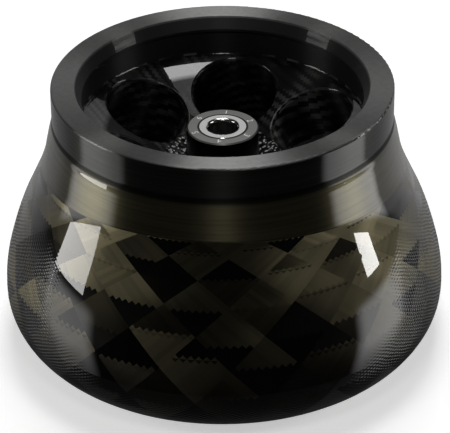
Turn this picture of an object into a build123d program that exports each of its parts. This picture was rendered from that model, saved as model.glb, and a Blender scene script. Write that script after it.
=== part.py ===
from build123d import *
import os
from math import radians, tan

# Fixed angle rotor for six round-bottomed tubes. A moulded carbon fibre body carries six
# leaning cavities round a numbered hub post. Below it a drive hub takes the spindle.
# Units are millimetres. The origin is the middle of the base, and +Z points up the spin axis.
# Cavity 1 lies on +Y, and the others follow clockwise as seen from above.

# --- Body, outside: a drop is measured down from the rim's top face ---
body_height = 137.0
body_radius = 107.4
base_corner_radius = 30.0
collar_radius = 82.0
collar_drop = 15.0
collar_edge_round = 0.9
swell_radius = 83.6
swell_drop = 24.0
band_radius = 85.8
band_drop = 35.0
shoulder_radius = 91.5
shoulder_drop = 51.0
flank_radius = 98.3
flank_drop = 66.0
hip_radius = 104.4
hip_drop = 85.0

# --- Body, inside the bowl: a depth is measured down from the rim's top face ---
seat_mouth_radius = 70.6
seat_foot_radius = 67.5
seat_depth = 6.0
seat_edge_round = 0.5
lip_thickness = 1.3
undercut_radius = 68.6
undercut_depth = 8.4
floor_edge_depth = 20.3
floor_corner_round = 1.5

# --- Cavities ---
cavity_count = 6
cavity_radius = 20.5
cavity_tilt = 25.0
cavity_mouth_radius = 46.9
cavity_length = 73.0
cavity_edge_round = 1.6

# --- Hub post, with its bush and seals ---
post_radius = 17.25
post_proud = 20.5
post_socket_depth = 8.4
post_clearance = 0.1
post_edge_chamfer = 0.6
thread_radius = 10.0
thread_clearance = 0.05
bush_radius = 11.5
bush_length = 16.1
bush_proud = 0.1
bush_bore_radius = 7.15
bush_mouth_round = 1.4
bush_edge_chamfer = 0.25
bush_clearance = 0.02
bush_seal_width = 0.7
bush_seal_height = 1.1
bush_seal_inset = 0.25
post_seal_section = 2.0
post_seal_rise = 3.6
post_seal_groove_width = 2.6
seal_clearance = 0.03

# --- Drive hub and pressure plate, let into the underside of the body ---
flange_inset = 1.0
flange_radius = 36.0
flange_thickness = 5.0
flange_edge_chamfer = 0.6
boss_radius = 23.0
boss_length = 36.0
boss_clearance = 0.1
boss_end_clearance = 0.5
stem_clearance = 0.2
tie_hole_radius = 7.6
mouth_recess_radius = 21.0
mouth_recess_depth = 4.5
spindle_radius = 12.5
spindle_length = 10.5
taper_end_radius = 9.0
taper_length = 22.0
plate_radius = 58.0
plate_thickness = 7.0
plate_clearance = 0.2
plate_edge_chamfer = 0.8
recess_edge_chamfer = 1.2

# --- Drive pins, screws and magnets ---
pin_count = 2
pin_radius = 2.0
pin_circle_radius = 17.0
pin_length = 13.0
pin_proud = 3.2
pin_clearance = 0.01
pin_end_chamfer = 0.4
screw_count = 6
screw_circle_radius = 29.0
screw_radius = 2.5
screw_length = 25.0
screw_head_radius = 4.8
screw_head_land = 0.4
screw_head_inset = 0.3
screw_clearance = 0.25
screw_end_clearance = 1.0
screw_socket_width = 3.0
screw_socket_depth = 1.8
magnet_count = 6
magnet_circle_radius = 29.0
magnet_radius = 3.0
magnet_height = 3.0
magnet_clearance = 0.05


def floor_z(radius):
    """Height of the conical bowl floor, which is square to the cavities' axes."""
    return floor_edge_z - (undercut_radius - radius) * tan(radians(cavity_tilt))


# --- Heights that follow from the sizes above ---
seat_foot_z = body_height - seat_depth
floor_edge_z = body_height - floor_edge_depth
post_foot_z = floor_z(post_radius) - post_socket_depth
post_top_z = floor_z(post_radius) + post_proud
bush_top_z = post_top_z + bush_proud
bush_foot_z = bush_top_z - bush_length
rebate_foot_z = post_top_z - bush_seal_inset - bush_seal_height - seal_clearance
flange_top_z = flange_inset + flange_thickness
plate_top_z = flange_top_z + plate_thickness
boss_top_z = flange_top_z + boss_length
mouth_recess_z = flange_inset + mouth_recess_depth
spindle_top_z = mouth_recess_z + spindle_length
taper_top_z = spindle_top_z + taper_length
screw_face_z = flange_inset + screw_head_inset

# --- Radii that follow: what one piece leaves free for another ---
post_bore_radius = thread_radius + thread_clearance
bush_seat_radius = bush_radius + bush_clearance
rebate_radius = bush_radius + bush_seal_width + 2 * seal_clearance
boss_hole_radius = boss_radius + boss_clearance


def turned(*outline):
    """Solid of revolution about Z from a closed outline, given as (radius, height) corners."""
    return revolve(Plane.XZ * make_face(Polyline(*outline, close=True)), Axis.Z)


def rings(part, radius, height):
    """Circular edges round Z that have this radius and lie at this height."""
    circles = part.edges().filter_by(GeomType.CIRCLE)
    return [
        edge for edge in circles
        if abs(edge.radius - radius) < 0.005 and abs(edge.arc_center.Z - height) < 0.005
    ]


def around(count, radius, height, start=0.0):
    """Evenly spaced places on a circle round Z, from an angle in degrees off +X."""
    return [
        Rotation(0, 0, start + index * 360 / count) * Pos(radius, 0, height)
        for index in range(count)
    ]


def standing_cylinder(radius, height):
    """Cylinder that stands on its own origin."""
    return Cylinder(radius, height, align=(Align.CENTER, Align.CENTER, Align.MIN))


# --- Places of what repeats ---
pin_places = around(pin_count, pin_circle_radius, mouth_recess_z - pin_proud)
screw_places = around(screw_count, screw_circle_radius, screw_face_z, 180 / screw_count)
magnet_places = around(magnet_count, magnet_circle_radius, flange_inset)


def cavity_place(index):
    """Frame of a cavity: its origin is the middle of the mouth, and Z runs out of it."""
    lean = Pos(0, cavity_mouth_radius, floor_z(cavity_mouth_radius)) * Rotation(cavity_tilt, 0, 0)
    return Rotation(0, 0, -index * 360 / cavity_count) * lean


def cavity_tool():
    """Space of one cavity: a round-bottomed bore that runs on past its mouth."""
    barrel = standing_cylinder(cavity_radius, cavity_length + cavity_radius)
    return Pos(0, 0, -cavity_length) * (barrel + Sphere(cavity_radius))


def body_blank():
    """Outer form of the body: collar, flared shoulder, flank and round base corner."""
    neck_foot = (collar_radius, body_height - collar_drop)
    widest = (body_radius, base_corner_radius)
    base_edge = (body_radius - base_corner_radius, 0)
    flank = Spline(
        neck_foot,
        (swell_radius, body_height - swell_drop),
        (band_radius, body_height - band_drop),
        (shoulder_radius, body_height - shoulder_drop),
        (flank_radius, body_height - flank_drop),
        (hip_radius, body_height - hip_drop),
        widest,
        tangents=((0, -1), (0, -1)),
    )
    corner = RadiusArc(widest, base_edge, base_corner_radius)
    closing = Polyline(
        base_edge, (0, 0), (0, body_height), (collar_radius, body_height), neck_foot
    )
    blank = revolve(Plane.XZ * make_face(flank + corner + closing), Axis.Z)
    return fillet(rings(blank, collar_radius, body_height), collar_edge_round)


def bowl():
    """Space above the cavities: tapered lid seat, undercut wall and conical floor."""
    space = turned(
        (0, floor_z(0)),
        (undercut_radius, floor_edge_z),
        (undercut_radius, body_height - undercut_depth),
        (seat_foot_radius, seat_foot_z - lip_thickness),
        (seat_foot_radius, seat_foot_z),
        (seat_mouth_radius, body_height),
        (0, body_height),
    )
    return fillet(rings(space, undercut_radius, floor_edge_z), floor_corner_round)


def hub_passage():
    """Space through the middle of the body for the post, the stem, the boss and the plate."""
    recess_radius = plate_radius + plate_clearance
    stem_hole_radius = thread_radius + stem_clearance
    post_hole_radius = post_radius + post_clearance
    boss_hole_top_z = boss_top_z + boss_end_clearance
    return turned(
        (0, 0),
        (recess_radius + recess_edge_chamfer, 0),
        (recess_radius, recess_edge_chamfer),
        (recess_radius, plate_top_z),
        (boss_hole_radius, plate_top_z),
        (boss_hole_radius, boss_hole_top_z),
        (stem_hole_radius, boss_hole_top_z),
        (stem_hole_radius, post_foot_z),
        (post_hole_radius, post_foot_z),
        (post_hole_radius, post_top_z),
        (0, post_top_z),
    )


def rotor_body():
    """Moulded and wound carbon fibre body, one piece."""
    blank = body_blank() - bowl() - hub_passage()
    cavities = [cavity_place(index) * cavity_tool() for index in range(cavity_count)]
    body = blank - cavities
    body = fillet(new_edges(blank, *cavities, combined=body), cavity_edge_round)
    body = fillet(rings(body, seat_mouth_radius, body_height), seat_edge_round)
    screw_hole = standing_cylinder(
        screw_radius + thread_clearance, screw_length + screw_end_clearance
    )
    return body - [place * screw_hole for place in screw_places]


def hub_post():
    """Numbered post on the stem, with a seat for the bush and a groove for its own seal."""
    groove_z = post_foot_z + post_seal_rise
    groove_radius = post_radius - post_seal_section
    half_groove = post_seal_groove_width / 2
    post = turned(
        (post_bore_radius, post_foot_z),
        (post_radius, post_foot_z),
        (post_radius, groove_z - half_groove),
        (groove_radius, groove_z - half_groove),
        (groove_radius, groove_z + half_groove),
        (post_radius, groove_z + half_groove),
        (post_radius, post_top_z),
        (rebate_radius, post_top_z),
        (rebate_radius, rebate_foot_z),
        (bush_seat_radius, rebate_foot_z),
        (bush_seat_radius, bush_foot_z),
        (post_bore_radius, bush_foot_z),
    )
    return chamfer(rings(post, post_radius, post_top_z), post_edge_chamfer)


def post_seal():
    """O-ring in the post's groove, against the wall of the body's bore."""
    minor = post_seal_section / 2
    major = post_radius + post_clearance - seal_clearance - minor
    return Pos(0, 0, post_foot_z + post_seal_rise) * Torus(major, minor)


def centre_bush():
    """Stainless bush in the post, with a rounded mouth for the lid's tie bolt."""
    bush = turned(
        (bush_bore_radius, bush_foot_z),
        (bush_radius, bush_foot_z),
        (bush_radius, bush_top_z),
        (bush_bore_radius, bush_top_z),
    )
    bush = chamfer(rings(bush, bush_radius, bush_top_z), bush_edge_chamfer)
    return fillet(rings(bush, bush_bore_radius, bush_top_z), bush_mouth_round)


def bush_seal():
    """Flat black ring that fills the rebate between the post and the bush."""
    inner = bush_radius + seal_clearance
    outer = inner + bush_seal_width
    foot_z = rebate_foot_z + seal_clearance
    ring = turned(
        (inner, foot_z),
        (outer, foot_z),
        (outer, foot_z + bush_seal_height),
        (inner, foot_z + bush_seal_height),
    )
    return fillet(rings(ring, outer, foot_z + bush_seal_height), bush_seal_width / 4)


def screw():
    """Countersunk screw, driven upwards: its origin is the middle of the head's face."""
    cone_top = screw_head_land + screw_head_radius - screw_radius
    shape = turned(
        (0, 0),
        (screw_head_radius, 0),
        (screw_head_radius, screw_head_land),
        (screw_radius, cone_top),
        (screw_radius, screw_length),
        (0, screw_length),
    )
    socket = extrude(RegularPolygon(screw_socket_width / 2, 6, major_radius=False), screw_socket_depth)
    return shape - socket


def screw_passage():
    """Countersunk hole for a screw, open below its head."""
    head_radius = screw_head_radius + screw_clearance
    shank_radius = screw_radius + screw_clearance
    cone_top = screw_head_land + head_radius - shank_radius
    return turned(
        (0, -screw_head_inset),
        (head_radius, -screw_head_inset),
        (head_radius, screw_head_land),
        (shank_radius, cone_top),
        (shank_radius, screw_length),
        (0, screw_length),
    )


def drive_hub():
    """Flanged hub: tapered spindle socket below, threaded stem up to the post."""
    hub = turned(
        (mouth_recess_radius, flange_inset),
        (flange_radius, flange_inset),
        (flange_radius, flange_top_z),
        (boss_radius, flange_top_z),
        (boss_radius, boss_top_z),
        (thread_radius, boss_top_z),
        (thread_radius, bush_foot_z),
        (tie_hole_radius, bush_foot_z),
        (tie_hole_radius, taper_top_z),
        (taper_end_radius, taper_top_z),
        (spindle_radius, spindle_top_z),
        (spindle_radius, mouth_recess_z),
        (mouth_recess_radius, mouth_recess_z),
    )
    hub = chamfer(rings(hub, flange_radius, flange_inset), flange_edge_chamfer)
    hub = chamfer(rings(hub, mouth_recess_radius, flange_inset), flange_edge_chamfer)
    pin_hole = standing_cylinder(pin_radius + pin_clearance, pin_length)
    pocket = standing_cylinder(magnet_radius + magnet_clearance, magnet_height)
    holes = [place * pin_hole for place in pin_places]
    pockets = [place * pocket for place in magnet_places]
    passages = [place * screw_passage() for place in screw_places]
    return hub - holes - pockets - passages


def pressure_plate():
    """Carbon plate in the recess of the underside, held up by the hub's flange."""
    plate = turned(
        (boss_hole_radius, flange_top_z),
        (plate_radius, flange_top_z),
        (plate_radius, plate_top_z),
        (boss_hole_radius, plate_top_z),
    )
    plate = chamfer(rings(plate, plate_radius, flange_top_z), plate_edge_chamfer)
    return plate - [place * screw_passage() for place in screw_places]


def drive_pin():
    """Dowel that stands out of the spindle socket's mouth."""
    pin = standing_cylinder(pin_radius, pin_length)
    return chamfer(pin.edges().filter_by(GeomType.CIRCLE), pin_end_chamfer)


pieces = {
    "rotor_body": rotor_body(),
    "hub_post": hub_post(),
    "post_seal": post_seal(),
    "centre_bush": centre_bush(),
    "bush_seal": bush_seal(),
    "drive_hub": drive_hub(),
    "pressure_plate": pressure_plate(),
    "hub_screws": Compound([place * screw() for place in screw_places]),
}
for number, place in enumerate(pin_places, start=1):
    pieces[f"drive_pin_{number}"] = place * drive_pin()
for number, place in enumerate(magnet_places, start=1):
    pieces[f"id_magnet_{number}"] = place * standing_cylinder(magnet_radius, magnet_height)

os.makedirs("parts", exist_ok=True)
for name, piece in pieces.items():
    export_step(piece, f"parts/{name}.step")
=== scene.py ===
"""Looks of a fixed angle rotor: wound carbon fibre body, hub post, steel bush and drive hub."""
import math
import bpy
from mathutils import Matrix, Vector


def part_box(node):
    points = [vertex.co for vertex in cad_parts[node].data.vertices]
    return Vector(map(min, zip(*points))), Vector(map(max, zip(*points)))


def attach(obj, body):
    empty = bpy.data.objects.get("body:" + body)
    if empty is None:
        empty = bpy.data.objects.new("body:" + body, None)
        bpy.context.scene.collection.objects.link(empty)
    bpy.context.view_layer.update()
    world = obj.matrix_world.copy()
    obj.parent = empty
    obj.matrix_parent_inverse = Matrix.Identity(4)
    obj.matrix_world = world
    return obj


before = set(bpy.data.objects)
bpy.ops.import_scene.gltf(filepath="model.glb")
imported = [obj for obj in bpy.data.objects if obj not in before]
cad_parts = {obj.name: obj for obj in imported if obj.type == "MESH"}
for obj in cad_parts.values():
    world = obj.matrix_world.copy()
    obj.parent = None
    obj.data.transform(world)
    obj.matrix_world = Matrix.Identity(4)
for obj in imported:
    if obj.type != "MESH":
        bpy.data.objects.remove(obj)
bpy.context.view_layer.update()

from types import SimpleNamespace

import bpy
from bpy.props import FloatProperty, FloatVectorProperty, IntProperty, PointerProperty
from mathutils import Matrix, Vector

bl_info = {
    "name": "Fixed Angle Rotor",
    "version": (1, 0, 0),
    "blender": (4, 5, 0),
    "location": "View3D > Sidebar > Rotor",
    "description": "Dresses a packed fixed angle rotor in wound carbon, metal and rubber finishes",
    "category": "Object",
}

BODY = "root"

# The materials work in millimetres, measured from the middle of the body's foot.
BODY_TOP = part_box("rotor_body")[1]
BODY_HEIGHT = round(BODY_TOP[2]*1000, 3)
BODY_RADIUS = round(BODY_TOP[0]*1000, 3)

# The body's outside, from the foot up: height, radius.
OUTSIDE = ((0.0, 77.4), (4.0, 92.4), (10.0, 99.8), (18.0, 104.9), (30.0, 107.4), (40.0, 106.6),
           (52.0, 104.4), (61.5, 101.6), (71.0, 98.3), (78.5, 94.9), (86.0, 91.5), (94.0, 88.3),
           (102.0, 85.8), (107.5, 84.6), (113.0, 83.6), (122.0, 82.0), (137.0, 82.0))

# Where one finish of the body gives way to the next: heights, except where said otherwise.
INNER_DEPTH = 4.0               # depth under the skin at which the bowl and cavities begin
RIM_FOOT = BODY_HEIGHT - 0.9    # turned rim, with its rounded edge
FOOT_TOP = 0.5                  # machined foot
SEAT_FOOT = 118.0               # seat wall of the bowl, over its cloth floor
COLLAR_FOOT = 116.0, 121.0      # dark collar over the amber swell
COLLAR_CREASE = 120.0             # line between the two, a crease darkened with painted shade
SWELL_LIP = 115.2, 118.6        # step in the resin up to that line
HOOP_WANDER = 3.0               # how far the hoop winding's edge goes up and down
SHADE_RISE = 30.0, 84.0          # painted shade: the bands darken downwards
HATCH_RISE = 62.0, 84.0         # the hatch of fine ridges fades upwards
CUT_FLOOR = 27.0, 28.5          # radii round the post, inside which the floor cuts its fibres
BOWL_GLOSS = 55.5, 58.5         # radii at which the bowl's coat grows glossy
WALL_RADIUS = 33.0              # radius at which the cloth of steep walls is unrolled

# Studio lights: name, place, width, height, radiance and tint. They face the rotor's middle.
MIDDLE = (0.0, 0.0, 0.07)
WARM, WHITE = (1.0, 0.99, 0.97), (1.0, 1.0, 1.0)
LIGHTS = (
    ("left_softbox", (-0.98, -0.21, 0.13), 0.40, 0.22, 9.6, WARM),
    ("left_fill", (-0.93, -0.24, 0.45), 0.34, 0.36, 4.8, WARM),
    ("right_softbox", (1.0, 0.0, 0.135), 0.17, 0.07, 20.0, WARM),
    ("right_fill", (0.94, 0.04, 0.45), 0.34, 0.36, 4.8, WARM),
    ("overhead_softbox", (0.0, 0.29, 1.35), 0.52, 0.46, 9.8, WHITE),
    ("front_key", (0.08, -0.68, 1.05), 0.2, 0.3, 6.5, WHITE),
    ("back_wall_light", (0.0, 1.9, 0.95), 2.4, 1.1, 0.6, WHITE),
)
CAMERA_PLACE = Vector((0.1559, -1.1634, 0.7719))
CAMERA_VIEW = Vector((-0.1132, 0.8484, -0.5171))

# A Mix node's inputs: the factor, then a first and a second number, vector or colour.
FACTOR, NUMBER_A, NUMBER_B, VECTOR_A, VECTOR_B, COLOUR_A, COLOUR_B = 0, 2, 3, 4, 5, 6, 7
# Its outputs are a number, a vector and a colour.
VECTOR_OUT, COLOUR_OUT = 1, 2


def colour(hex_code):
    """Turns an sRGB hex colour into the linear RGBA that shaders take."""
    parts = [int(hex_code[i:i + 2], 16)/255 for i in (0, 2, 4)]
    return (*(p/12.92 if p <= 0.04045 else ((p + 0.055)/1.055)**2.4 for p in parts), 1.0)


def add(tree, kind, links=(), out=0, **settings):
    """Adds a node with its settings, feeds its inputs and returns one of its outputs."""
    node = tree.nodes.new(kind)
    for name, value in settings.items():
        setattr(node, name, value)
    pairs = links.items() if isinstance(links, dict) else enumerate(links)
    for key, value in pairs:
        if isinstance(value, bpy.types.NodeSocket):
            tree.links.new(value, node.inputs[key])
        else:
            node.inputs[key].default_value = value
    return node.outputs[out] if len(node.outputs) else node


def shape(curve_output, points):
    """Gives a Float Curve node its points and hands its output back."""
    mapping = curve_output.node.mapping
    curve = mapping.curves[0]
    while len(curve.points) < len(points):
        curve.points.new(0.5, 0.5)
    for point, place in zip(curve.points, points):
        point.location = place
        point.handle_type = "AUTO"
    mapping.update()
    return curve_output


def new_material(name):
    """A fresh material with an empty node tree, and that tree."""
    material = bpy.data.materials.new(name)
    material.use_nodes = True
    material.node_tree.nodes.clear()
    return material, material.node_tree


def close_material(tree, **feeds):
    """Ends a tree in one Principled shader, fed by its sockets' names with _ for a space."""
    surface = add(tree, "ShaderNodeBsdfPrincipled", {k.replace("_", " "): v for k, v in feeds.items()})
    add(tree, "ShaderNodeOutputMaterial", [surface])


def dress(node_name, material):
    """Puts one material in every slot of a packed node."""
    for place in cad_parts[node_name].material_slots:
        place.material = material


def outside_radius(height):
    """The body's outside radius at a height."""
    for (low, a), (high, b) in zip(OUTSIDE, OUTSIDE[1:]):
        if height <= high:
            return a + (b - a)*(height - low)/(high - low)
    return OUTSIDE[-1][1]


def winding_lead(pole_radius):
    """How far round, in radians, a tow that turns back at the pole radius has gone at each height.

    A tow lies level where it turns back, so the sine of its angle stops just short of 1."""
    step = 0.25
    most_level = 0.985
    lead, track = 0.0, [(0.0, 0.0)]
    for i in range(int(BODY_HEIGHT/step)):
        low, high = outside_radius(i*step), outside_radius((i + 1)*step)
        sine = min(most_level, 2*pole_radius/(low + high))
        lead += sine/math.sqrt(1 - sine*sine)*2/(low + high)*math.hypot(step, high - low)
        track.append(((i + 1)*step, lead))
    return track


# ---------------------------------------------------------------- wound carbon

def body_place(tree):
    """Where a point of the body lies, in millimetres, and which way its surface faces."""
    place = add(tree, "ShaderNodeTexCoord", out="Object")
    mm = add(tree, "ShaderNodeVectorMath", {"Vector": place, "Scale": 1000.0}, operation="SCALE")
    x, y, z = add(tree, "ShaderNodeSeparateXYZ", [mm]).node.outputs
    flat = add(tree, "ShaderNodeVectorMath", [mm, (1, 1, 0)], operation="MULTIPLY")
    radius = add(tree, "ShaderNodeVectorMath", [flat], "Value", operation="LENGTH")
    angle = add(tree, "ShaderNodeMath", [y, x], operation="ARCTAN2")
    share = add(tree, "ShaderNodeMath", [z, BODY_HEIGHT], operation="DIVIDE")
    normal = add(tree, "ShaderNodeNewGeometry", out="Normal")
    normal_up = add(tree, "ShaderNodeSeparateXYZ", [normal], "Z")
    return SimpleNamespace(mm=mm, z=z, flat=flat, radius=radius, angle=angle, share=share,
                           normal=normal, normal_up=normal_up)


def body_zones(tree, at, hoop_edge):
    """Masks of the body's zones: its inside, its cut rim and foot, the hoop winding and the seat."""
    skin = shape(add(tree, "ShaderNodeFloatCurve", [1.0, at.share]),
                 [(h/BODY_HEIGHT, r/BODY_RADIUS) for h, r in OUTSIDE])
    skin_radius = add(tree, "ShaderNodeMath", [skin, BODY_RADIUS], operation="MULTIPLY")
    depth = add(tree, "ShaderNodeMath", [skin_radius, at.radius], operation="SUBTRACT")
    inner = add(tree, "ShaderNodeMath", [depth, INNER_DEPTH], operation="GREATER_THAN")
    topmost = add(tree, "ShaderNodeMath", [at.z, RIM_FOOT], operation="GREATER_THAN")
    level = add(tree, "ShaderNodeMapRange", [at.normal_up, 0.2, 0.85, 0.0, 1.0])
    rim = add(tree, "ShaderNodeMath", [topmost, level], operation="MULTIPLY")
    foot = add(tree, "ShaderNodeMath", [at.z, FOOT_TOP], operation="LESS_THAN")
    cut = add(tree, "ShaderNodeMath", [rim, foot], operation="MAXIMUM")
    twice = add(tree, "ShaderNodeMath", [at.angle, 2.0], operation="MULTIPLY")
    wander = add(tree, "ShaderNodeMath", [twice], operation="COSINE")
    edge = add(tree, "ShaderNodeMath", [wander, -HOOP_WANDER, hoop_edge], operation="MULTIPLY_ADD")
    hoop = add(tree, "ShaderNodeMath", [at.z, edge], operation="GREATER_THAN")
    above_floor = add(tree, "ShaderNodeMath", [at.z, SEAT_FOOT], operation="GREATER_THAN")
    return SimpleNamespace(inner=inner, cut=cut, hoop=hoop, hoop_edge=edge, above_floor=above_floor)


def crossing_bands(tree, at, winding):
    """Two sets of bands that cross: which lies on top, how much painted sheen it gets and where its teeth
    bite.
    """
    bands, tows = float(winding.bands), float(winding.tows)
    track = winding_lead(winding.pole_radius*1000)
    whole_lead = track[-1][1]
    knots = 29
    picks = [track[round(i*(len(track) - 1)/(knots - 1))] for i in range(knots)]
    lead = shape(add(tree, "ShaderNodeFloatCurve", [1.0, at.share]),
                 [(h/BODY_HEIGHT, a/whole_lead) for h, a in picks])
    per_turn = bands/math.tau
    round_by = add(tree, "ShaderNodeMath", [at.angle, per_turn], operation="MULTIPLY")
    lead_by = add(tree, "ShaderNodeMath", [lead, whole_lead*per_turn], operation="MULTIPLY")
    band_ids, tow_places, band_tones, tow_tones = [], [], [], []
    for way, meeting in enumerate(("ADD", "SUBTRACT")):
        across = add(tree, "ShaderNodeMath", [round_by, lead_by], operation=meeting)
        whole = add(tree, "ShaderNodeMath", [across], operation="FLOOR")
        band = add(tree, "ShaderNodeMath", [whole, bands], operation="FLOORED_MODULO")
        part = add(tree, "ShaderNodeMath", [across], operation="FRACT")
        across_tows = add(tree, "ShaderNodeMath", [across, tows], operation="MULTIPLY")
        whole_tows = add(tree, "ShaderNodeMath", [across_tows], operation="FLOOR")
        tow = add(tree, "ShaderNodeMath", [whole_tows, tows*bands], operation="FLOORED_MODULO")
        band_ids.append(band)
        tow_places.append(add(tree, "ShaderNodeMath", [part, tows], operation="MULTIPLY"))
        for count, seed, tones in ((band, 0.37 + 57*way, band_tones), (tow, 0.61 + 900*way, tow_tones)):
            seeded = add(tree, "ShaderNodeMath", [count, seed], operation="ADD")
            tones.append(add(tree, "ShaderNodeTexWhiteNoise", {"W": seeded}, "Value",
                             noise_dimensions="1D"))

    # In each cell one band dives under the other along a line that steps from tow to tow.
    cell = add(tree, "ShaderNodeCombineXYZ", [*band_ids, 0.0])
    chance = add(tree, "ShaderNodeTexWhiteNoise", {"Vector": cell}, "Value", noise_dimensions="3D")
    slip = add(tree, "ShaderNodeMapRange", [chance, 0.0, 1.0, -0.4*tows, 0.4*tows])
    shift = add(tree, "ShaderNodeMath", [slip], operation="ROUND")
    stairs = [add(tree, "ShaderNodeMath", [place], operation="FLOOR") for place in tow_places]
    step = add(tree, "ShaderNodeMath", stairs, operation="SUBTRACT")
    above = add(tree, "ShaderNodeMath", [step, shift], operation="GREATER_THAN")
    on_edge = add(tree, "ShaderNodeMath", [step, shift, 0.5], operation="COMPARE")
    first, second = [add(tree, "ShaderNodeMath", [place], operation="FRACT") for place in tow_places]
    half = add(tree, "ShaderNodeMath", [second, first], operation="GREATER_THAN")
    tooth = add(tree, "ShaderNodeMath", [on_edge, half], operation="MULTIPLY")
    sharp = add(tree, "ShaderNodeMapRange", [chance, 0.3, 0.9, 0.0, 0.8])
    notch = add(tree, "ShaderNodeMath", [tooth, sharp], operation="MULTIPLY")

    # Painted sheen: each cell takes a random tone between a shaded and a lit copy of the tow colour.
    band_tone = add(tree, "ShaderNodeMix", {FACTOR: above, NUMBER_A: band_tones[1],
                                            NUMBER_B: band_tones[0]})
    half_cell = add(tree, "ShaderNodeCombineXYZ", [*band_ids, above])
    cell_tone = add(tree, "ShaderNodeTexWhiteNoise", {"Vector": half_cell}, "Value", noise_dimensions="3D")
    tone = add(tree, "ShaderNodeMath", [cell_tone, 1.5, band_tone], operation="MULTIPLY_ADD")
    tone = add(tree, "ShaderNodeMapRange", [tone, 0.95, 1.45, 0.0, 1.0], interpolation_type="SMOOTHSTEP")
    tow_tone = add(tree, "ShaderNodeMix", {FACTOR: above, NUMBER_A: tow_tones[1],
                                           NUMBER_B: tow_tones[0]})
    tow_tone = add(tree, "ShaderNodeMapRange", [tow_tone, 0.0, 1.0, 0.72, 1.0])
    tone = add(tree, "ShaderNodeMath", [tone, tow_tone], operation="MULTIPLY")
    # Painted shade: the tone darkens towards the bottom of the body.
    painted_low_shade = add(tree, "ShaderNodeMapRange", [at.z, *SHADE_RISE, 0.13, 1.0])
    tone = add(tree, "ShaderNodeMath", [tone, painted_low_shade], operation="MULTIPLY")
    return above, tone, notch


def ridge_hatch(tree, at, winding):
    """Fine crossing ridges in the coat's gloss, which show low on the flank and at a shallow glance.

    They are drawn about 4 mm apart, coarser than real tow ridges, so that they show."""
    drift = add(tree, "ShaderNodeTexNoise", {"Vector": at.mm, "Scale": 0.09, "Detail": 1.0})
    waver = add(tree, "ShaderNodeMath", [drift, 0.035, at.angle], operation="MULTIPLY_ADD")
    ridges = []
    for rise in (1, -1):
        climb = rise/winding.ridge_climb/1000
        slope = add(tree, "ShaderNodeMath", [at.z, climb, waver], operation="MULTIPLY_ADD")
        fine = add(tree, "ShaderNodeMath", [slope, float(winding.ridges)], operation="MULTIPLY")
        ridges.append(add(tree, "ShaderNodeMath", [fine], operation="SINE"))
    low = add(tree, "ShaderNodeMapRange", [at.z, *HATCH_RISE, 1.0, 0.0], interpolation_type="SMOOTHSTEP")
    facing = add(tree, "ShaderNodeLayerWeight", [0.5], "Facing")
    grazing = add(tree, "ShaderNodeMapRange", [facing, 0.34, 0.52, 0.0, 1.0],
                  interpolation_type="SMOOTHSTEP")
    strength = add(tree, "ShaderNodeMath", [low, grazing], operation="MULTIPLY")
    one_way = add(tree, "ShaderNodeMath", [ridges[0], strength], operation="MULTIPLY")
    crossed = add(tree, "ShaderNodeMath", ridges, operation="ADD")
    both_ways = add(tree, "ShaderNodeMath", [crossed, strength], operation="MULTIPLY")
    groove = add(tree, "ShaderNodeMapRange", [crossed, 0.3, -0.7, 0.0, 1.0],
                 interpolation_type="SMOOTHSTEP")
    groove = add(tree, "ShaderNodeMath", [groove, strength], operation="MULTIPLY")
    return one_way, both_ways, groove


def across_fibres(tree, at, zone, above, pole_radius):
    """The direction across the fibres, along which their shine spreads.

    A helical tow runs flatter the nearer it comes to the pole radius, and a hoop tow lies level."""
    around = add(tree, "ShaderNodeVectorMath", [(0, 0, 1), at.flat], operation="CROSS_PRODUCT")
    level = add(tree, "ShaderNodeVectorMath", [around], operation="NORMALIZE")
    upward = add(tree, "ShaderNodeVectorMath", [at.normal, level], operation="CROSS_PRODUCT")
    flatness = add(tree, "ShaderNodeMath", [pole_radius, at.radius], operation="DIVIDE", use_clamp=True)
    squared = add(tree, "ShaderNodeMath", [flatness, flatness], operation="MULTIPLY")
    rest = add(tree, "ShaderNodeMath", [1.0, squared], operation="SUBTRACT")
    steepness = add(tree, "ShaderNodeMath", [rest], operation="SQRT")
    side = add(tree, "ShaderNodeMapRange", [above, 0.0, 1.0, 1.0, -1.0])
    sideways = add(tree, "ShaderNodeMath", [flatness, side], operation="MULTIPLY")
    run = add(tree, "ShaderNodeVectorMath", {"Vector": level, "Scale": sideways}, operation="SCALE")
    rise = add(tree, "ShaderNodeVectorMath", {"Vector": upward, "Scale": steepness}, operation="SCALE")
    helix = add(tree, "ShaderNodeVectorMath", [run, rise], operation="ADD")
    turned = add(tree, "ShaderNodeMath", [zone.hoop, zone.cut], operation="MAXIMUM")
    fibre = add(tree, "ShaderNodeMix", {FACTOR: turned, VECTOR_A: helix, VECTOR_B: level}, VECTOR_OUT,
                data_type="VECTOR")
    return add(tree, "ShaderNodeVectorMath", [at.normal, fibre], operation="CROSS_PRODUCT")


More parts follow.
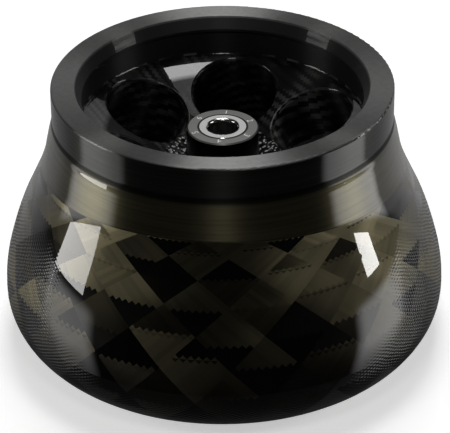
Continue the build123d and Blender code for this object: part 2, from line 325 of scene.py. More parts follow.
def wound_skin(tree, at, zone, look, tone, notch):
    """Colour of the wound outside, with painted shade in the crease under the collar, and a mask of that
    crease.
    """
    # Painted light: the tone mixes the shaded and the lit copy of the tow colour.
    tow_colour = add(tree, "ShaderNodeMix", {FACTOR: tone, COLOUR_A: tuple(look.tow_shaded_painted),
                                             COLOUR_B: tuple(look.tow_lit_painted)},
                     COLOUR_OUT, data_type="RGBA")
    # Dark notches are laid along the saw teeth of the bands.
    tow_colour = add(tree, "ShaderNodeMix", {FACTOR: notch, COLOUR_A: tow_colour,
                                             COLOUR_B: tuple(look.tooth_notch_dark)},
                     COLOUR_OUT, data_type="RGBA")
    collar_share = add(tree, "ShaderNodeMapRange", [at.z, *COLLAR_FOOT, 0.0, 1.0],
                       interpolation_type="SMOOTHSTEP")
    hoop_tint = add(tree, "ShaderNodeMix", {FACTOR: collar_share, COLOUR_A: tuple(look.swell),
                                            COLOUR_B: tuple(look.collar)},
                    COLOUR_OUT, data_type="RGBA")

    # Hoop tows show as level streaks, about 1 mm high and 50 mm long.
    stretched = add(tree, "ShaderNodeVectorMath", [at.mm, (0.02, 0.02, 1.1)], operation="MULTIPLY")
    streak = add(tree, "ShaderNodeTexNoise", {"Vector": stretched, "Scale": 1.0, "Detail": 3.0})
    streak = add(tree, "ShaderNodeMapRange", [streak, 0.3, 0.7, 0.72, 1.15])
    # Painted shade darkens the crease under the collar, and a dark line marks the hoop winding's last
    # edge.
    off_seam = add(tree, "ShaderNodeMath", [at.z, COLLAR_CREASE], operation="SUBTRACT")
    off_seam = add(tree, "ShaderNodeMath", [off_seam], operation="ABSOLUTE")
    crease_shade = add(tree, "ShaderNodeMapRange", [off_seam, 0.8, 2.2, 1.0, 0.0], interpolation_type="SMOOTHSTEP")
    last_hoop = add(tree, "ShaderNodeMath", [at.z, zone.hoop_edge, 0.5], operation="COMPARE")
    last_hoop = add(tree, "ShaderNodeMath", [last_hoop, 0.8], operation="MULTIPLY")
    lines = add(tree, "ShaderNodeMath", [crease_shade, last_hoop], operation="MAXIMUM")
    crease_and_edge_darkening = add(tree, "ShaderNodeMapRange", [lines, 0.0, 1.0, 1.0, 0.45])
    darkened = add(tree, "ShaderNodeMath", [streak, crease_and_edge_darkening], operation="MULTIPLY")
    hoop_colour = add(tree, "ShaderNodeVectorMath", {"Vector": hoop_tint, "Scale": darkened},
                      operation="SCALE")
    skin_colour = add(tree, "ShaderNodeMix", {FACTOR: zone.hoop, COLOUR_A: tow_colour,
                                              COLOUR_B: hoop_colour},
                      COLOUR_OUT, data_type="RGBA")
    return skin_colour, crease_shade


def moulded_cloth(tree, at, zone, look, thread, wall):
    """Colour of the 2 x 2 twill cloth in the bowl and cavities, with painted glints on its raised threads
    and cut fibre ends, and a mask of its raised threads.
    """
    steep = add(tree, "ShaderNodeMath", [at.normal_up, 0.5], operation="LESS_THAN")
    laid = add(tree, "ShaderNodeMix", {FACTOR: steep, VECTOR_A: at.mm, VECTOR_B: wall}, VECTOR_OUT,
               data_type="VECTOR")
    in_threads = add(tree, "ShaderNodeVectorMath", {"Vector": laid, "Scale": 1/thread}, operation="SCALE")
    u, v = add(tree, "ShaderNodeSeparateXYZ", [in_threads]).node.outputs[:2]
    warp = add(tree, "ShaderNodeMath", [u], operation="FLOOR")
    weft = add(tree, "ShaderNodeMath", [v], operation="FLOOR")
    diagonal = add(tree, "ShaderNodeMath", [warp, weft], operation="ADD")
    cycle = add(tree, "ShaderNodeMath", [diagonal, 4.0], operation="FLOORED_MODULO")
    lifted = add(tree, "ShaderNodeMath", [cycle, 1.5], operation="LESS_THAN")

    # The raised threads' glint is painted as a paler colour, and resin hides it in clouds some 17 mm wide.
    # Steep walls, in the shade, are made paler.
    cloud = add(tree, "ShaderNodeTexNoise", {"Vector": at.mm, "Scale": 0.06, "Detail": 2.0})
    shown = add(tree, "ShaderNodeMapRange", [cloud, 0.45, 0.62, 0.05, 1.0])
    raised = add(tree, "ShaderNodeMath", [lifted, shown], operation="MULTIPLY")
    tint = add(tree, "ShaderNodeMix", {FACTOR: raised, COLOUR_A: tuple(look.cloth_dark),
                                       COLOUR_B: tuple(look.cloth_thread_glint)},
               COLOUR_OUT, data_type="RGBA")
    paler = add(tree, "ShaderNodeMath", [steep, 2.4, 1.0], operation="MULTIPLY_ADD")
    tint = add(tree, "ShaderNodeVectorMath", {"Vector": tint, "Scale": paler}, operation="SCALE")
    tint = add(tree, "ShaderNodeMix", {FACTOR: zone.above_floor, COLOUR_A: tint,
                                       COLOUR_B: tuple(look.seat)},
               COLOUR_OUT, data_type="RGBA")

    # Beside the post the floor is cut through its fibres, and their ends' sparkle is painted as pale spots
    # about 1 mm apart.
    near_post = add(tree, "ShaderNodeMapRange", [at.radius, *CUT_FLOOR, 1.0, 0.0])
    facets = add(tree, "ShaderNodeTexVoronoi", {"Vector": at.mm, "Scale": 1.1}, "Color")
    facet = add(tree, "ShaderNodeSeparateXYZ", [facets], "X")
    bright = add(tree, "ShaderNodeMapRange", [facet, 0.78, 0.86, 0.0, 1.0])
    painted_glint = add(tree, "ShaderNodeMath", [bright, near_post], operation="MULTIPLY")
    tint = add(tree, "ShaderNodeMix", {FACTOR: painted_glint, COLOUR_A: tint, COLOUR_B: tuple(look.cut_fibre_glint)},
               COLOUR_OUT, data_type="RGBA")
    return tint, lifted


def clear_coat(tree, at, zone, look, wall, crease_shade, groove):
    """Strength of the epoxy's gloss: none where the body is cut, worn on the seat, thin in grooves."""
    coat = add(tree, "ShaderNodeMapRange", [zone.cut, 0.0, 1.0, look.coat, 0.0])
    smeared = add(tree, "ShaderNodeVectorMath", [wall, (0.12, 0.5, 0.0)], operation="MULTIPLY")
    smear = add(tree, "ShaderNodeTexNoise", {"Vector": smeared, "Scale": 1.0, "Detail": 4.0})
    worn = add(tree, "ShaderNodeMapRange", [smear, 0.35, 0.7, 0.05, 0.4])
    worn = add(tree, "ShaderNodeMath", [worn, coat], operation="MULTIPLY")
    dip = add(tree, "ShaderNodeMapRange", [crease_shade, 0.0, 1.0, 1.0, 0.1])
    coat = add(tree, "ShaderNodeMath", [coat, dip], operation="MULTIPLY")
    seat = add(tree, "ShaderNodeMath", [zone.above_floor, zone.inner], operation="MULTIPLY")
    coat = add(tree, "ShaderNodeMix", {FACTOR: seat, NUMBER_A: coat, NUMBER_B: worn})
    furrow = add(tree, "ShaderNodeMapRange", [groove, 0.0, 1.0, 1.0, 0.16])
    bowl = add(tree, "ShaderNodeMapRange", [at.radius, *BOWL_GLOSS, 0.1, 1.0])
    thinned = add(tree, "ShaderNodeMix", {FACTOR: zone.inner, NUMBER_A: furrow, NUMBER_B: bowl})
    return add(tree, "ShaderNodeMath", [coat, thinned], operation="MULTIPLY")


def wound_carbon(look, winding):
    """Filament wound carbon fibre under a thick clear epoxy coat.

    Flat tows are laid wet in crossing helices over the flank and in hoops over the collar, then
    cast over with epoxy and polished. The eye gets satin olive triangles with saw-toothed edges,
    bright where the light crosses their fibres and black elsewhere, all under hard reflections.
    Their colour also carries a painted sheen on random triangles and painted shade low down.
    The rim is turned back to bare laminate, and the bowl and cavities show moulded cloth."""
    material, tree = new_material("wound_carbon_under_epoxy")
    at = body_place(tree)
    zone = body_zones(tree, at, winding.hoop_edge*1000)
    above, tone, notch = crossing_bands(tree, at, winding)
    one_way, both_ways, groove = ridge_hatch(tree, at, winding)
    crosswise = across_fibres(tree, at, zone, above, winding.pole_radius*1000)
    arc = add(tree, "ShaderNodeMath", [at.angle, WALL_RADIUS], operation="MULTIPLY")
    wall = add(tree, "ShaderNodeCombineXYZ", [arc, at.z, 0.0])
    skin_colour, crease_shade = wound_skin(tree, at, zone, look, tone, notch)
    cloth_colour, lifted = moulded_cloth(tree, at, zone, look, winding.thread*1000, wall)
    coat = clear_coat(tree, at, zone, look, wall, crease_shade, groove)

    # Bare laminate, where the rim is turned and the foot is machined.
    layers = add(tree, "ShaderNodeTexNoise", {"Vector": at.flat, "Scale": 0.35, "Detail": 5.0,
                                              "Roughness": 0.7})
    layers = add(tree, "ShaderNodeMapRange", [layers, 0.3, 0.7, 0.85, 1.1])
    cut_colour = add(tree, "ShaderNodeVectorMath", {"Vector": look.rim[:3], "Scale": layers},
                     operation="SCALE")
    base = add(tree, "ShaderNodeMix", {FACTOR: zone.inner, COLOUR_A: skin_colour, COLOUR_B: cloth_colour},
               COLOUR_OUT, data_type="RGBA")
    base = add(tree, "ShaderNodeMix", {FACTOR: zone.cut, COLOUR_A: base, COLOUR_B: cut_colour},
               COLOUR_OUT, data_type="RGBA")
    shine = add(tree, "ShaderNodeMix", {FACTOR: zone.inner, NUMBER_A: look.metallic,
                                        NUMBER_B: look.cloth_metallic})
    shine = add(tree, "ShaderNodeMix", {FACTOR: zone.cut, NUMBER_A: shine, NUMBER_B: look.cut_metallic})
    spread = add(tree, "ShaderNodeMapRange", [zone.cut, 0.0, 1.0, look.fibre_roughness,
                                              look.cut_roughness])

    # Relief of the fibres: tow ridges, hoops 2.6 mm apart and the cloth's raised threads.
    hoops = add(tree, "ShaderNodeMath", [at.z, math.tau/2.6], operation="MULTIPLY")
    hoops = add(tree, "ShaderNodeMath", [hoops], operation="SINE")
    relief = add(tree, "ShaderNodeMix", {FACTOR: zone.hoop, NUMBER_A: one_way, NUMBER_B: hoops})
    relief = add(tree, "ShaderNodeMix", {FACTOR: zone.inner, NUMBER_A: relief, NUMBER_B: lifted})
    bump = add(tree, "ShaderNodeBump", {"Strength": 0.5, "Distance": 0.00003, "Height": relief})

    # Relief of the coat: the same ridges and hoops, fainter, over the lip under the collar.
    faint_hoops = add(tree, "ShaderNodeMath", [hoops, 0.03], operation="MULTIPLY")
    coat_relief = add(tree, "ShaderNodeMix", {FACTOR: zone.hoop, NUMBER_A: both_ways,
                                              NUMBER_B: faint_hoops})
    coat_relief = add(tree, "ShaderNodeMix", {FACTOR: zone.inner, NUMBER_A: coat_relief, NUMBER_B: 0.0})
    lip = add(tree, "ShaderNodeMapRange", [at.z, *SWELL_LIP, 1.0, 0.0], interpolation_type="SMOOTHSTEP")
    lip_bump = add(tree, "ShaderNodeBump", {"Strength": 1.0, "Distance": 0.00034, "Height": lip})
    coat_bump = add(tree, "ShaderNodeBump", {"Strength": 1.0, "Distance": 0.00006,
                                             "Height": coat_relief, "Normal": lip_bump})
    close_material(tree, Base_Color=base, Metallic=shine, Roughness=spread, Anisotropic=1.0,
                   Tangent=crosswise, Normal=bump, Coat_Weight=coat, Coat_Roughness=0.02,
                   Coat_IOR=1.42, Coat_Normal=coat_bump, Specular_IOR_Level=0.15)
    return material


# ---------------------------------------------------------------- other materials

def grained_finish(name, tint, metallic, roughness, grains, depth, spread, stretch=(1, 1, 1)):
    """A finish with a fine grain, so many grains to a millimetre and so many metres deep.

    The grain varies the tone by the spread and roughens the surface a little."""
    material, tree = new_material(name)
    place = add(tree, "ShaderNodeTexCoord", out="Object")
    mm = add(tree, "ShaderNodeVectorMath", {"Vector": place, "Scale": 1000.0}, operation="SCALE")
    drawn = add(tree, "ShaderNodeVectorMath", [mm, stretch], operation="MULTIPLY")
    grain = add(tree, "ShaderNodeTexNoise", {"Vector": drawn, "Scale": grains, "Detail": 4.0,
                                             "Roughness": 0.6})
    tone = add(tree, "ShaderNodeMapRange", [grain, 0.3, 0.7, 1 - spread, 1 + spread])
    shade = add(tree, "ShaderNodeVectorMath", {"Vector": tint[:3], "Scale": tone}, operation="SCALE")
    gloss = add(tree, "ShaderNodeMapRange", [grain, 0.3, 0.7, roughness*0.9, roughness*1.1])
    bump = add(tree, "ShaderNodeBump", {"Strength": 0.4, "Distance": depth, "Height": grain})
    close_material(tree, Base_Color=shade, Metallic=metallic, Roughness=gloss, Normal=bump)
    return material


def dark_anodised(look):
    """Hard anodised aluminium, turned then dyed dark. It gives a satin face with faint turning rings.

    The rings are drawn some 0.4 mm apart, coarser than a tool's feed, so that they show."""
    material, tree = new_material("dark_hard_anodised_aluminium")
    at = body_place(tree)
    face = add(tree, "ShaderNodeMapRange", [at.normal_up, 0.4, 0.9, 0.0, 1.0])
    shade = add(tree, "ShaderNodeMix", {FACTOR: face, COLOUR_A: tuple(look.post_side),
                                        COLOUR_B: tuple(look.post)},
                COLOUR_OUT, data_type="RGBA")
    turned = add(tree, "ShaderNodeMath", [at.radius, 2.5], operation="MULTIPLY")
    rings = add(tree, "ShaderNodeTexNoise", {"W": turned, "Scale": 1.0, "Detail": 2.0},
                noise_dimensions="1D")
    gloss = add(tree, "ShaderNodeMapRange", [rings, 0.3, 0.7, 0.3, 0.4])
    bump = add(tree, "ShaderNodeBump", {"Strength": 0.3, "Distance": 0.00001, "Height": rings})
    close_material(tree, Base_Color=shade, Metallic=0.75, Roughness=gloss, Normal=bump)
    return material


def polished_steel(look):
    """Stainless steel, ground and polished. It mirrors the light, with a fine haze of drawn lines."""
    return grained_finish("polished_stainless_steel", look.steel, metallic=1.0, roughness=0.16,
                          grains=1.6, depth=0.000003, spread=0.03, stretch=(0.1, 0.1, 2.0))


def clear_anodised(look):
    """Clear anodised aluminium, turned. It looks pale and even, with soft wide highlights."""
    return grained_finish("clear_anodised_aluminium", look.hub, metallic=0.95, roughness=0.36,
                          grains=1.4, depth=0.000008, spread=0.05)


def bright_nickel(look):
    """Nickel plate on the magnets. It is smooth and slightly warm."""
    return grained_finish("bright_nickel_plate", look.nickel, metallic=1.0, roughness=0.12,
                          grains=0.8, depth=0.000002, spread=0.03)


def ground_laminate(look):
    """Carbon laminate, moulded flat and ground dull. It shows a faint cloudy grain without gloss."""
    return grained_finish("ground_carbon_laminate", look.plate, metallic=0.35, roughness=0.5,
                          grains=0.8, depth=0.00003, spread=0.22)


def nitrile_rubber(look):
    """Nitrile rubber, moulded. It is matt black with a soft edge sheen."""
    return grained_finish("black_nitrile_rubber", look.rubber, metallic=0.0, roughness=0.6,
                          grains=3.0, depth=0.00001, spread=0.1)


def white_paint(look):
    """White epoxy marking paint, pad printed. It is flat white with slightly soft coverage."""
    return grained_finish("white_marking_paint", look.paint, metallic=0.0, roughness=0.55,
                          grains=2.5, depth=0.000004, spread=0.03)


# ---------------------------------------------------------------- numerals

def ring_of_numerals(count, digit_height, ring_radius, base_height, thickness, material):
    """A node tree that stands numerals round a ring with their tops outward, as thin raised paint."""
    tree = bpy.data.node_groups.new("ring_of_numerals", "GeometryNodeTree")
    tree.interface.new_socket("Geometry", in_out="OUTPUT", socket_type="NodeSocketGeometry")
    sizes = {"Numerals": count, "Digit Height": digit_height, "Ring Radius": ring_radius,
             "Base Height": base_height, "Thickness": thickness}
    for name, value in sizes.items():
        kind = "NodeSocketInt" if isinstance(value, int) else "NodeSocketFloat"
        tree.interface.new_socket(name, in_out="INPUT", socket_type=kind)
    given = add(tree, "NodeGroupInput").node.outputs

    # The places: numeral 1 stands on +Y, and the others follow clockwise.
    ring = add(tree, "GeometryNodeMeshCircle", {"Vertices": given["Numerals"],
                                                "Radius": given["Ring Radius"]})
    index = add(tree, "GeometryNodeInputIndex")
    step = add(tree, "ShaderNodeMath", [math.tau, given["Numerals"]], operation="DIVIDE")
    clockwise = add(tree, "ShaderNodeMath", [index, step], operation="MULTIPLY")
    angle = add(tree, "ShaderNodeMath", [math.pi/2, clockwise], operation="SUBTRACT")
    east = add(tree, "ShaderNodeMath", [angle], operation="COSINE")
    north = add(tree, "ShaderNodeMath", [angle], operation="SINE")
    way = add(tree, "ShaderNodeCombineXYZ", [east, north, 0.0])
    spot = add(tree, "ShaderNodeVectorMath", {"Vector": way, "Scale": given["Ring Radius"]},
               operation="SCALE")
    rise = add(tree, "ShaderNodeCombineXYZ", [0.0, 0.0, given["Base Height"]])
    placed = add(tree, "GeometryNodeSetPosition", {"Geometry": ring, "Position": spot, "Offset": rise})
    turn = add(tree, "ShaderNodeMath", [clockwise, -1.0], operation="MULTIPLY")
    facing = add(tree, "ShaderNodeCombineXYZ", [0.0, 0.0, turn])

    # The digits: a digit is 0.72 of its type size high and about 0.56 wide, and stands on its foot.
    size = add(tree, "ShaderNodeMath", [given["Digit Height"], 0.72], operation="DIVIDE")
    digits = add(tree, "GeometryNodeStringToCurves", {"String": "123456789"[:count], "Size": size})
    origin = add(tree, "ShaderNodeCombineXYZ", [0.0, 0.0, 0.0])
    stacked = add(tree, "GeometryNodeSetPosition", {"Geometry": digits, "Position": origin})
    flat = add(tree, "GeometryNodeFillCurve", [stacked], mode="TRIANGLES")
    set_out = add(tree, "GeometryNodeInstanceOnPoints",
                  {"Points": placed, "Instance": flat, "Pick Instance": True,
                   "Instance Index": index, "Rotation": facing})
    half_width = add(tree, "ShaderNodeMath", [size, -0.28], operation="MULTIPLY")
    half_height = add(tree, "ShaderNodeMath", [given["Digit Height"], -0.5], operation="MULTIPLY")
    back = add(tree, "ShaderNodeCombineXYZ", [half_width, half_height, 0.0])
    centred = add(tree, "GeometryNodeTranslateInstances",
                  {"Instances": set_out, "Translation": back, "Local Space": True})

    # The paint's thickness: its faces are raised, and the same faces turned over close it below.
    faces = add(tree, "GeometryNodeRealizeInstances", [centred])
    top = add(tree, "GeometryNodeExtrudeMesh", {"Mesh": faces, "Offset Scale": given["Thickness"],
                                                "Individual": False})
    under = add(tree, "GeometryNodeFlipFaces", [faces])
    both = tree.nodes.new("GeometryNodeJoinGeometry")
    tree.links.new(top, both.inputs[0])
    tree.links.new(under, both.inputs[0])
    merged = add(tree, "GeometryNodeMergeByDistance", {"Geometry": both.outputs[0],
                                                       "Distance": 0.000001})
    real = add(tree, "GeometryNodeRealizeInstances", [merged])
    painted = add(tree, "GeometryNodeSetMaterial", {"Geometry": real, "Material": material})
    add(tree, "NodeGroupOutput", [painted])
    return tree, sizes


def grow(name, tree, sizes, material):
    """Runs a node tree with its named sizes and keeps the result as a plain mesh object."""
    seed = bpy.data.objects.new(name + "_seed", bpy.data.meshes.new(name + "_seed"))
    bpy.context.collection.objects.link(seed)
    modifier = seed.modifiers.new("build", "NODES")
    modifier.node_group = tree
    for socket in tree.interface.items_tree:
        if socket.in_out == "INPUT":
            modifier[socket.identifier] = sizes[socket.name]
    held = seed.evaluated_get(bpy.context.evaluated_depsgraph_get())
    mesh = bpy.data.meshes.new_from_object(held)
    mesh.name = name
    bpy.data.objects.remove(seed)
    piece = bpy.data.objects.new(name, mesh)
    bpy.context.collection.objects.link(piece)
    mesh.materials.clear()
    mesh.materials.append(material)
    return piece


# ---------------------------------------------------------------- stage

def aim(thing, place, target, roll=0.0):
    """Stands a light or camera at a place, looking at the target."""
    thing.location = place
    turn = (Vector(target) - Vector(place)).to_track_quat("-Z", "Y")
    thing.rotation_mode = "QUATERNION"
    thing.rotation_quaternion = turn @ Matrix.Rotation(roll, 3, "Z").to_quaternion()


def softbox(name, place, width, height, radiance, tint):
    """A rectangular studio light of a given brightness, aimed at the rotor's middle."""
    lamp = bpy.data.lights.new(name, "AREA")
    lamp.shape = "RECTANGLE"
    lamp.size, lamp.size_y = width, height
    lamp.energy = radiance*math.pi*width*height
    lamp.color = tint
    thing = bpy.data.objects.new(name, lamp)
    bpy.context.collection.objects.link(thing)
    aim(thing, place, MIDDLE)


def dim_room(stage):
    """A dim room, lighter low down behind the rotor and brightest low down at its sides."""
    world = bpy.data.worlds.new("dim_room")
    world.use_nodes = True
    tree = world.node_tree
    tree.nodes.clear()
    way = add(tree, "ShaderNodeTexCoord", out="Generated")
    y, z = add(tree, "ShaderNodeSeparateXYZ", [way]).node.outputs[1:]
    level = add(tree, "ShaderNodeVectorMath", [way, (1, 1, 0)], operation="MULTIPLY")
    heading = add(tree, "ShaderNodeVectorMath", [level], operation="NORMALIZE")
    rightward = add(tree, "ShaderNodeVectorMath", [heading, (0.991, 0.134, 0)], "Value",
                    operation="DOT_PRODUCT")

    # The sides glow, the right one more, and the back glows more towards the right.
    sideways = add(tree, "ShaderNodeMath", [rightward], operation="ABSOLUTE")
    side_glow = add(tree, "ShaderNodeMath", [rightward, 0.22*stage.side_glow, stage.side_glow],
                    operation="MULTIPLY_ADD")
    beside = add(tree, "ShaderNodeMapRange", [sideways, 0.92, 0.97, 0.0, side_glow],
                 interpolation_type="SMOOTHSTEP")
    behind = add(tree, "ShaderNodeMapRange", [y, 0.0, 0.5, 0.0, stage.back_glow],
                 interpolation_type="SMOOTHSTEP")
    lean = add(tree, "ShaderNodeMapRange", [rightward, -1.0, 1.0, 1.0, 1.5])
    behind = add(tree, "ShaderNodeMath", [behind, lean], operation="MULTIPLY")
    around = add(tree, "ShaderNodeMath", [beside, behind], operation="MAXIMUM")

    # Both glow only in a band below the horizon, and the table in front glows below that.
    below = add(tree, "ShaderNodeMapRange", [z, -0.14, -0.06, 1.0, 0.0], interpolation_type="SMOOTHSTEP")
    above = add(tree, "ShaderNodeMapRange", [z, -0.62, -0.34, 0.0, 1.0])
    band = add(tree, "ShaderNodeMath", [below, above], operation="MULTIPLY")
    table = add(tree, "ShaderNodeMapRange", [z, -0.64, -0.54, 1.0, 0.0], interpolation_type="SMOOTHSTEP")
    glow = add(tree, "ShaderNodeMath", [around, band, stage.room], operation="MULTIPLY_ADD")
    glow = add(tree, "ShaderNodeMath", [table, stage.front_glow, glow], operation="MULTIPLY_ADD")
    light = add(tree, "ShaderNodeBackground", {"Strength": glow})
    add(tree, "ShaderNodeOutputWorld", [light])
    return world


def studio_floor(stage):
    """A wide pale disc for the rotor to stand on, kept out of the gloss so that the foot stays dark."""
    corners = 96
    under_foot = -0.0001
    turns = [math.tau*i/corners for i in range(corners)]
    rim = [(stage.floor_radius*math.cos(turn), stage.floor_radius*math.sin(turn), under_foot)
           for turn in turns]
    mesh = bpy.data.meshes.new("studio_floor")
    mesh.from_pydata(rim, [], [tuple(range(corners))])
    floor = bpy.data.objects.new("studio_floor", mesh)
    bpy.context.collection.objects.link(floor)
    material, tree = new_material("pale_paper_floor")
    close_material(tree, Base_Color=tuple(stage.floor), Roughness=0.9, Specular_IOR_Level=0.1,
                   Emission_Color=(1.0, 1.0, 1.0, 1.0), Emission_Strength=stage.floor_glow)
    mesh.materials.append(material)
    floor.visible_glossy = False
    return floor


# ---------------------------------------------------------------- settings

def tint_setting(name, text, hex_code):
    """A colour setting whose default is an sRGB hex colour."""
    return FloatVectorProperty(name=name, description=text, subtype="COLOR", size=4, min=0.0, max=1.0,
                               default=colour(hex_code))


def length_setting(name, text, millimetres):
    """A length setting with its default in millimetres."""
    return FloatProperty(name=name, description=text, subtype="DISTANCE", unit="LENGTH", min=0.0,
                         precision=5, default=millimetres/1000)


def share_setting(name, text, share):
    """A setting between 0 and 1."""
    return FloatProperty(name=name, description=text, subtype="FACTOR", min=0.0, max=1.0, default=share)


def glow_setting(name, text, strength):
    """A brightness setting."""
    return FloatProperty(name=name, description=text, min=0.0, default=strength)


class RotorLook(bpy.types.PropertyGroup):
    """Colours and gloss of the rotor's finishes."""
    # Painted light: the next two are lit and shaded copies of the tow colour, given to cells at random.
    tow_lit_painted: tint_setting("Light tow", "Tows that face the light", "6a644e")
    tow_shaded_painted: tint_setting("Dark tow", "Tows that turn from the light", "070605")
    # Dark notches along the saw teeth of a band.
    tooth_notch_dark: tint_setting("Tooth notch", "Dark notches along the saw teeth of a band", "050504")
    swell: tint_setting("Swell", "Hoop winding below the collar, seen through amber resin", "5c5843")
    collar: tint_setting("Collar", "Hoop winding of the collar", "323230")
    rim: tint_setting("Rim", "Turned face of the rim and machined foot", "727271")
    # Painted glint: raised threads are paler to stand for their glint.
    cloth_thread_glint: tint_setting("Raised thread", "Cloth threads on top in the bowl", "323231")
    cloth_dark: tint_setting("Sunken thread", "Cloth threads below in the bowl", "080808")
    # Painted glint: pale spots that stand for sparkle off cut fibre ends.
    cut_fibre_glint: tint_setting("Cut fibre", "Ends of fibres cut through beside the post", "b8b8b4")
    seat: tint_setting("Seat wall", "Moulded wall under the rim", "222222")
    post: tint_setting("Hub post face", "Anodised aluminium, faced after dyeing", "898987")
    post_side: tint_setting("Hub post side", "Dyed anodised aluminium", "0c0c0c")
    steel: tint_setting("Steel", "Polished stainless steel", "d6d6d4")
    hub: tint_setting("Drive hub", "Clear anodised aluminium", "bdbec0")
    nickel: tint_setting("Nickel", "Nickel plate", "cfcdc6")
    plate: tint_setting("Pressure plate", "Ground carbon laminate", "3a3a3b")
    rubber: tint_setting("Rubber", "Nitrile rubber", "141414")
    paint: tint_setting("Numerals", "White marking paint", "f4f4f2")
    coat: share_setting("Coat", "Strength of the clear epoxy coat", 1.0)
    metallic: share_setting("Fibre shine", "How much the wound fibres mirror light", 0.96)
    cloth_metallic: share_setting("Cloth shine", "How much the cloth's fibres mirror light", 0.2)
    cut_metallic: share_setting("Cut shine", "How much the turned rim mirrors light", 0.85)
    fibre_roughness: share_setting("Fibre roughness", "Spread of the fibres' shine", 0.46)
    cut_roughness: share_setting("Cut roughness", "Spread of the turned rim's shine", 0.42)


class RotorWinding(bpy.types.PropertyGroup):
    """Sizes of the wound bands and the moulded cloth."""
    bands: IntProperty(name="Bands", description="Bands side by side round the body", min=6, max=60,
                       default=20)
    tows: IntProperty(name="Tows", description="Tows in a band, which make its saw teeth", min=3,
                      max=30, default=9)
    ridges: IntProperty(name="Ridges", description="Fine ridges each way round the body", min=30,
                        max=900, default=180)
    ridge_climb: length_setting("Ridge climb", "Height a ridge climbs in one radian", 53.0)
    pole_radius: length_setting("Pole radius", "Radius at which the helical tows turn back", 73.5)
    hoop_edge: length_setting("Hoop edge", "Height where the hoop winding ends", 98.0)
    thread: length_setting("Thread", "Width of a cloth thread", 1.6)


class RotorNumerals(bpy.types.PropertyGroup):
    """Sizes of the numerals on the hub post."""
    digit_height: length_setting("Digit height", "Height of a numeral", 3.2)
    ring_radius: length_setting("Ring radius", "Radius of the ring of numerals", 14.45)
    thickness: length_setting("Thickness", "Thickness of the paint", 0.03)
    lift: length_setting("Lift", "Gap that keeps the paint off the post's face", 0.01)


class RotorStage(bpy.types.PropertyGroup):
    """Camera, floor and studio light."""
    lens: FloatProperty(name="Lens", description="Focal length in millimetres", min=10.0, default=224.0)
    roll: FloatProperty(name="Camera roll", description="Turn of the camera about its own axis",
                        subtype="ANGLE", unit="ROTATION", default=math.radians(-0.546))
    floor_radius: length_setting("Floor radius", "Radius of the floor disc", 9000.0)
    floor: tint_setting("Floor", "Pale studio floor", "f4f4f4")
    floor_glow: glow_setting("Floor glow", "Light that comes up through the floor", 0.5)
    room: glow_setting("Room light", "Brightness of the dim room", 0.02)
    side_glow: glow_setting("Side glow", "Brightness low down at the sides", 3.4)
    back_glow: glow_setting("Back glow", "Brightness low down behind", 0.45)
    front_glow: glow_setting("Front glow", "Brightness low down in front", 0.035)


# ---------------------------------------------------------------- operators

class ROTOR_OT_stage(bpy.types.Operator):
    """Makes the camera, the studio lights and the pale floor"""
    bl_idname = "rotor.stage"
    bl_label = "Studio Stage"

    def execute(self, context):
        stage = context.scene.rotor_stage
        camera = bpy.data.objects.new("camera", bpy.data.cameras.new("camera"))
        context.collection.objects.link(camera)
        camera.data.lens = stage.lens
        camera.data.sensor_width = 36.0
        camera.data.clip_start, camera.data.clip_end = 0.05, 60.0
        aim(camera, CAMERA_PLACE, CAMERA_PLACE + CAMERA_VIEW, stage.roll)
        context.scene.camera = camera
        context.scene.view_settings.view_transform = "Standard"
        context.scene.world = dim_room(stage)
        for light in LIGHTS:
            softbox(*light)
        floor = studio_floor(stage)
        return {"FINISHED"}


class ROTOR_OT_body(bpy.types.Operator):
    """Finishes the body as wound carbon fibre under clear epoxy"""
    bl_idname = "rotor.body"
    bl_label = "Wound Body"

    def execute(self, context):
        scene = context.scene
        dress("rotor_body", wound_carbon(scene.rotor_look, scene.rotor_winding))
        return {"FINISHED"}


class ROTOR_OT_hub_post(bpy.types.Operator):
    """Finishes the hub post and its bush"""
    bl_idname = "rotor.hub_post"
    bl_label = "Hub Post"

    def execute(self, context):
        look = context.scene.rotor_look
        dress("hub_post", dark_anodised(look))
        dress("centre_bush", polished_steel(look))
        return {"FINISHED"}


class ROTOR_OT_numerals(bpy.types.Operator):
    """Paints the numerals that count the cavities round the hub post"""
    bl_idname = "rotor.numerals"
    bl_label = "Numerals"

    def execute(self, context):
        sizes = context.scene.rotor_numerals
        paint = white_paint(context.scene.rotor_look)
        post_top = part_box("hub_post")[1][2]
        count = len([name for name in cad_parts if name.startswith("id_magnet")])
        tree, given = ring_of_numerals(count, sizes.digit_height, sizes.ring_radius,
                                       post_top + sizes.lift, sizes.thickness, paint)
        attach(grow("post_numerals", tree, given, paint), BODY)
        return {"FINISHED"}


class ROTOR_OT_seals(bpy.types.Operator):
    """Finishes the rubber seals round the post and the bush"""
    bl_idname = "rotor.seals"
    bl_label = "Seals"

    def execute(self, context):
        rubber = nitrile_rubber(context.scene.rotor_look)
        for name in ("post_seal", "bush_seal"):
            dress(name, rubber)
        return {"FINISHED"}


class ROTOR_OT_drive(bpy.types.Operator):
    """Finishes the drive hub and the pressure plate under the body"""
    bl_idname = "rotor.drive"
    bl_label = "Drive Hub"

    def execute(self, context):
        look = context.scene.rotor_look
        dress("drive_hub", clear_anodised(look))
        dress("pressure_plate", ground_laminate(look))
        return {"FINISHED"}


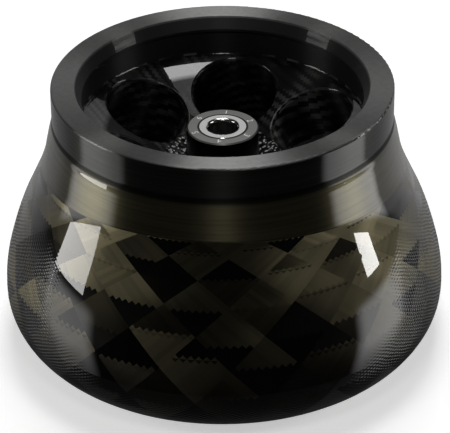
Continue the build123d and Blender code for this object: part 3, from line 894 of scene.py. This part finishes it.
class ROTOR_OT_fasteners(bpy.types.Operator):
    """Finishes the screws and drive pins in steel"""
    bl_idname = "rotor.fasteners"
    bl_label = "Screws and Pins"

    def execute(self, context):
        steel = polished_steel(context.scene.rotor_look)
        for name in ("hub_screws", "drive_pin_1", "drive_pin_2"):
            dress(name, steel)
        return {"FINISHED"}


class ROTOR_OT_magnets(bpy.types.Operator):
    """Finishes the small magnets in the hub's flange"""
    bl_idname = "rotor.magnets"
    bl_label = "Magnets"

    def execute(self, context):
        nickel = bright_nickel(context.scene.rotor_look)
        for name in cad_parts:
            if name.startswith("id_magnet"):
                dress(name, nickel)
        return {"FINISHED"}


OPERATORS = (ROTOR_OT_stage, ROTOR_OT_body, ROTOR_OT_hub_post, ROTOR_OT_numerals, ROTOR_OT_seals,
             ROTOR_OT_drive, ROTOR_OT_fasteners, ROTOR_OT_magnets)
SETTINGS = {"rotor_look": RotorLook, "rotor_winding": RotorWinding, "rotor_numerals": RotorNumerals,
            "rotor_stage": RotorStage}


class ROTOR_PT_panel(bpy.types.Panel):
    """Lists the rotor's steps and settings in the sidebar"""
    bl_idname = "ROTOR_PT_panel"
    bl_label = "Fixed Angle Rotor"
    bl_space_type = "VIEW_3D"
    bl_region_type = "UI"
    bl_category = "Rotor"

    def draw(self, context):
        layout = self.layout
        for operator in OPERATORS:
            layout.operator(operator.bl_idname)
        for key, group in SETTINGS.items():
            box = layout.box()
            box.label(text=group.__doc__)
            for name in group.__annotations__:
                box.prop(getattr(context.scene, key), name)


def register():
    for group in SETTINGS.values():
        bpy.utils.register_class(group)
    for key, group in SETTINGS.items():
        setattr(bpy.types.Scene, key, PointerProperty(type=group))
    for item in (*OPERATORS, ROTOR_PT_panel):
        bpy.utils.register_class(item)


def unregister():
    for item in (ROTOR_PT_panel, *reversed(OPERATORS)):
        bpy.utils.unregister_class(item)
    for key in SETTINGS:
        delattr(bpy.types.Scene, key)
    for group in reversed(SETTINGS.values()):
        bpy.utils.unregister_class(group)


def main():
    register()
    bpy.ops.rotor.stage()
    bpy.ops.rotor.body()
    bpy.ops.rotor.hub_post()
    bpy.ops.rotor.numerals()
    bpy.ops.rotor.seals()
    bpy.ops.rotor.drive()
    bpy.ops.rotor.fasteners()
    bpy.ops.rotor.magnets()


if __name__ == "__main__":
    main()
